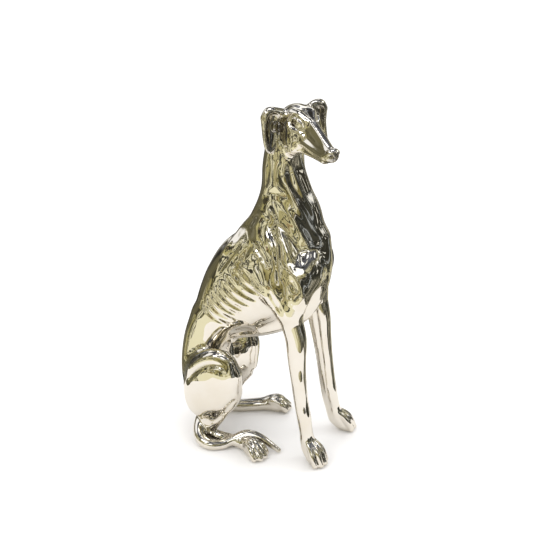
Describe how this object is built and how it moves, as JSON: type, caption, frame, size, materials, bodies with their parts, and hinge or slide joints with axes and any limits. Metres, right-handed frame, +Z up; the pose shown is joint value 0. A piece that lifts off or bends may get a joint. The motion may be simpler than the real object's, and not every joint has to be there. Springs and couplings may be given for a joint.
{
  "type": "greyhound statue",
  "caption": "Plated statue of a seated greyhound, head turned to its right, tail curled round its hind foot.",
  "frame": {"origin": "on the floor, under the middle of the statue's outline", "axes": "+X the way the dog's chest faces, +Y to its left, +Z up from the soles of its feet"},
  "size_m": [0.382, 0.2498, 0.7774],
  "materials": {
    "silver_plate": "mirror-bright silver plate over a smooth casting"
  },
  "bodies": {
    "root": {"greyhound": "silver_plate"}
  },
  "joints": []
}
